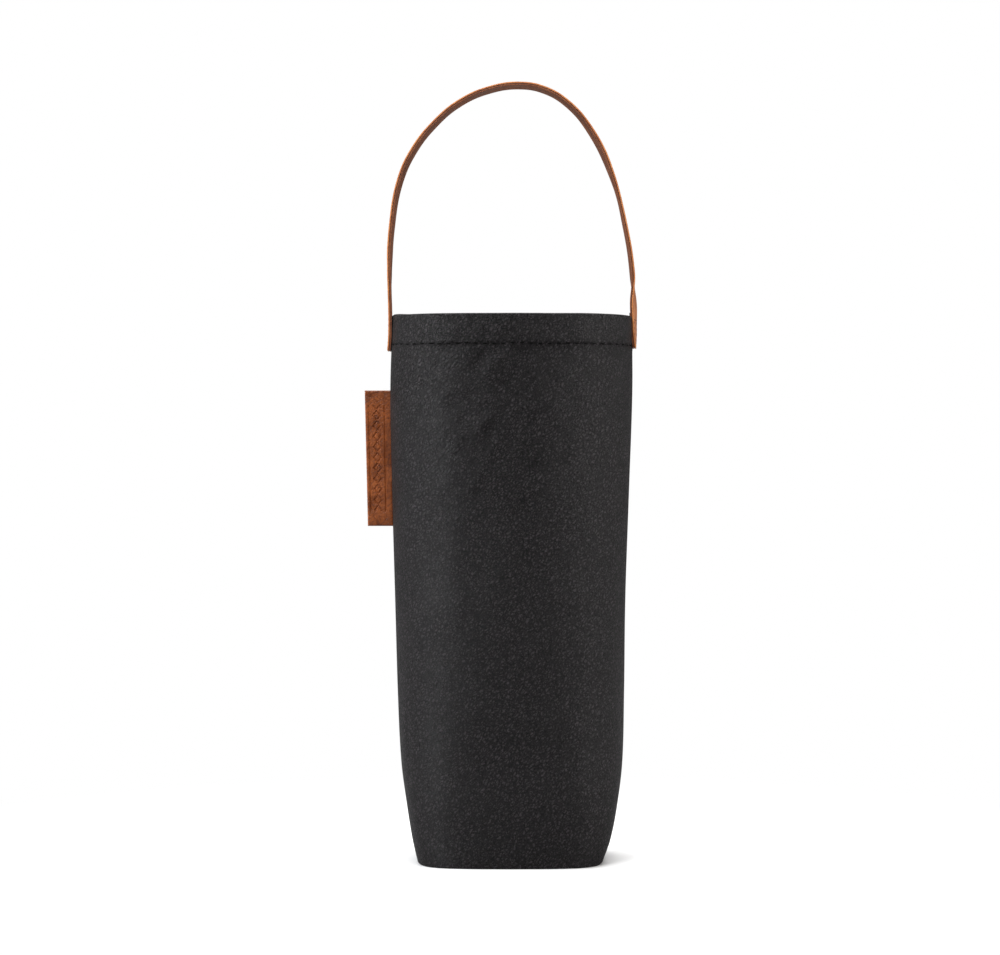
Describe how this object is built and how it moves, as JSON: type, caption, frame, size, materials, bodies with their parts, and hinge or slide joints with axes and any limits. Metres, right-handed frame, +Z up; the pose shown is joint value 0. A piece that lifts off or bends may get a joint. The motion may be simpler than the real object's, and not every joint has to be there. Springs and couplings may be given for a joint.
{
  "type": "wine gift bag",
  "caption": "Tall soft leather-look gift bag for a wine bottle, with a folded and stitched mouth hem, a two-ply tan strap handle and a tan leather tag in the side seam.",
  "frame": {"origin": "middle of the base's underside, on the surface the bag stands on", "axes": "+Z up through the mouth, -Y the front panel, -X the side seam with the tag"},
  "size_m": [0.1659, 0.092, 0.4719],
  "materials": {
    "body_leather": "matte",
    "backing_leather": "matte",
    "strap_leather": "satin",
    "strap_lining": "matte",
    "tag_leather": "satin",
    "black_thread": "matte"
  },
  "bodies": {
    "bag": {"front_panel": "body_leather", "back_panel": "body_leather", "base_panel": "body_leather", "left_seam_allowances": "body_leather", "right_seam_allowances": "body_leather", "hem_thread": "black_thread", "left_side_seam_thread": "black_thread", "right_side_seam_thread": "black_thread", "base_seam_thread": "black_thread", "left_backing_patch": "backing_leather", "right_backing_patch": "backing_leather", "left_strap_end_face": "strap_leather", "left_strap_end_lining": "strap_lining", "right_strap_end_face": "strap_leather", "right_strap_end_lining": "strap_lining", "left_strap_thread": "black_thread", "right_strap_thread": "black_thread", "tag_root": "tag_leather"},
    "handle": {"handle_face": "strap_leather", "handle_lining": "strap_lining"},
    "tag": {"tag_flap": "tag_leather"}
  },
  "joints": [
    {"name": "handle_swing", "type": "hinge", "parent": "bag", "child": "handle", "pos_m": [0, 0, 0.34], "axis": [1, 0, 0], "range_deg": [-90, 90]},
    {"name": "tag_flex", "type": "hinge", "parent": "bag", "child": "tag", "pos_m": [-0.07285, 0, 0.2025], "axis": [-0.0236, 0, 0.9997], "range_deg": [-80, 80]}
  ]
}
